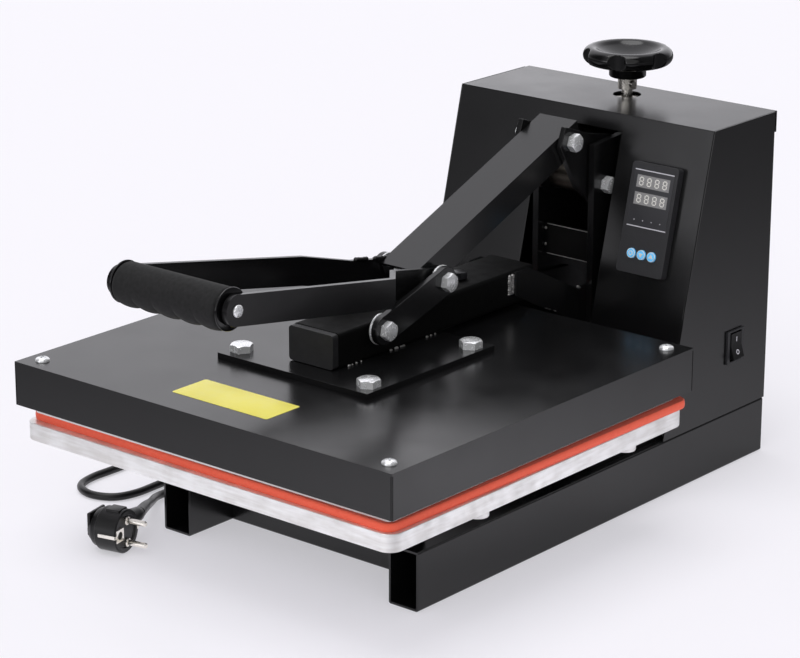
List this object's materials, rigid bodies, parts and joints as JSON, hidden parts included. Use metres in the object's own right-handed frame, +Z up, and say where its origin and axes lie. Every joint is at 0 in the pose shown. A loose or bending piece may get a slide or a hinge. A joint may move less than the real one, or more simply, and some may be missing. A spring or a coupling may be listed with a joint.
{
  "type": "heat press",
  "caption": "Clamshell heat press with a padded lower platen, a covered heated upper platen on a hinged toggle arm, a foam-grip handle, a pressure screw and a temperature controller.",
  "frame": {"origin": "on the floor, under the middle of the press without its free cord", "axes": "+X to the right seen from the handle, +Y to the back, +Z up"},
  "size_m": [0.468, 0.634, 0.355],
  "materials": {
    "black_paint": "satin powder coat",
    "zinc_steel": "bright zinc plate",
    "cast_aluminium": "as cast, machined top",
    "silicone": "matt red",
    "black_plastic": "moulded",
    "rocker_plastic": "polished",
    "smoked_window": "smoked",
    "blue_button": "moulded",
    "pale_plastic": "moulded",
    "cord_rubber": "matt",
    "nickel": "nickel plate",
    "heater_sheath": "oxidised",
    "fibre_wool": "needled fibre",
    "foam": "closed cell foam"
  },
  "bodies": {
    "base": {"left_rail": "black_paint", "right_rail": "black_paint", "cross_tubes": "black_paint", "base_plate": "black_paint", "uprights": "black_paint", "upright_tie": "black_paint", "thrust_bar": "black_paint", "hinge_pin": "zinc_steel", "pivot_bolt": "zinc_steel", "bearers": "black_paint", "bearer_bolts": "zinc_steel", "lower_platen": "cast_aluminium", "silicone_pad": "silicone", "shroud": "black_paint", "left_panel": "black_paint", "right_panel": "black_paint", "rear_panel": "black_paint", "panel_screws": "zinc_steel", "controller": "black_plastic", "display_window": "smoked_window", "switch_bezel": "black_plastic", "relay": "black_plastic", "terminal_block": "pale_plastic", "cord_gland": "cord_rubber", "power_cord": "cord_rubber", "plug": "cord_rubber", "plug_pins": "nickel"},
    "arm": {"beam": "black_paint", "beam_tail": "black_paint", "beam_cap": "black_plastic", "hinge_bush": "black_paint", "mounting_plate": "black_paint", "mounting_bolts": "zinc_steel", "cover": "black_paint", "cover_screws": "zinc_steel", "heat_platen": "cast_aluminium", "heater": "heater_sheath", "insulation": "fibre_wool", "stop_bolt": "black_paint", "link_bolt": "zinc_steel"},
    "link_pair": {"links": "black_paint", "link_washers": "zinc_steel", "knee_bolt": "zinc_steel"},
    "handle": {"lever_tube": "black_paint", "handle_bars": "black_paint", "grip_rod": "zinc_steel", "foam_grip": "foam", "grip_discs": "black_plastic", "grip_screws": "zinc_steel"},
    "bracket": {"bracket_ears": "black_paint", "bracket_bush": "black_paint", "pressure_nut": "zinc_steel", "bolt_ends": "zinc_steel"},
    "screw": {"knob": "black_plastic", "knob_collar": "zinc_steel", "pressure_screw": "zinc_steel"},
    "set_key": {"set_button": "blue_button"},
    "down_key": {"down_button": "blue_button"},
    "up_key": {"up_button": "blue_button"},
    "switch_rocker": {"rocker": "rocker_plastic"}
  },
  "joints": [
    {"name": "press_hinge", "type": "hinge", "parent": "base", "child": "arm", "pos_m": [0, 0.2122, 0.13], "axis": [-1, 0, 0], "range_deg": [0, 30]},
    {"name": "link_pivot", "type": "hinge", "parent": "arm", "child": "link_pair", "pos_m": [0, -0.0958, 0.19], "axis": [-1, 0, 0], "range_deg": [-84, 0]},
    {"name": "lever_pivot", "type": "hinge", "parent": "link_pair", "child": "handle", "pos_m": [0, -0.01875, 0.21297], "axis": [-1, 0, 0], "range_deg": [0, 114.2]},
    {"name": "knob_turn", "type": "hinge", "parent": "base", "child": "screw", "pos_m": [0, 0.2772, 0.35399], "axis": [0, 0, 1], "range_deg": [-720, 720]},
    {"name": "bracket_tilt", "type": "hinge", "parent": "base", "child": "bracket", "pos_m": [0, 0.20223, 0.24999], "axis": [-1, 0, 0], "range_deg": [-3.1, 3.1]},
    {"name": "set_press", "type": "slide", "parent": "base", "child": "set_key", "axis": [0, 0.9715, -0.2368], "range_m": [0, 0.0008], "stiffness_N_per_m": 600},
    {"name": "down_press", "type": "slide", "parent": "base", "child": "down_key", "axis": [0, 0.9715, -0.2368], "range_m": [0, 0.0008], "stiffness_N_per_m": 600},
    {"name": "up_press", "type": "slide", "parent": "base", "child": "up_key", "axis": [0, 0.9715, -0.2368], "range_m": [0, 0.0008], "stiffness_N_per_m": 600},
    {"name": "switch_rock", "type": "hinge", "parent": "base", "child": "switch_rocker", "pos_m": [0.136, 0.2542, 0.1115], "axis": [0, 1, 0], "range_deg": [0, 16]}
  ],
  "couplings": [
    {"joint": "link_pivot", "follows": "press_hinge", "ratio": -2.7915},
    {"joint": "lever_pivot", "follows": "press_hinge", "ratio": 3.7986},
    {"joint": "bracket_tilt", "follows": "knob_turn", "ratio": 0.0042}
  ]
}
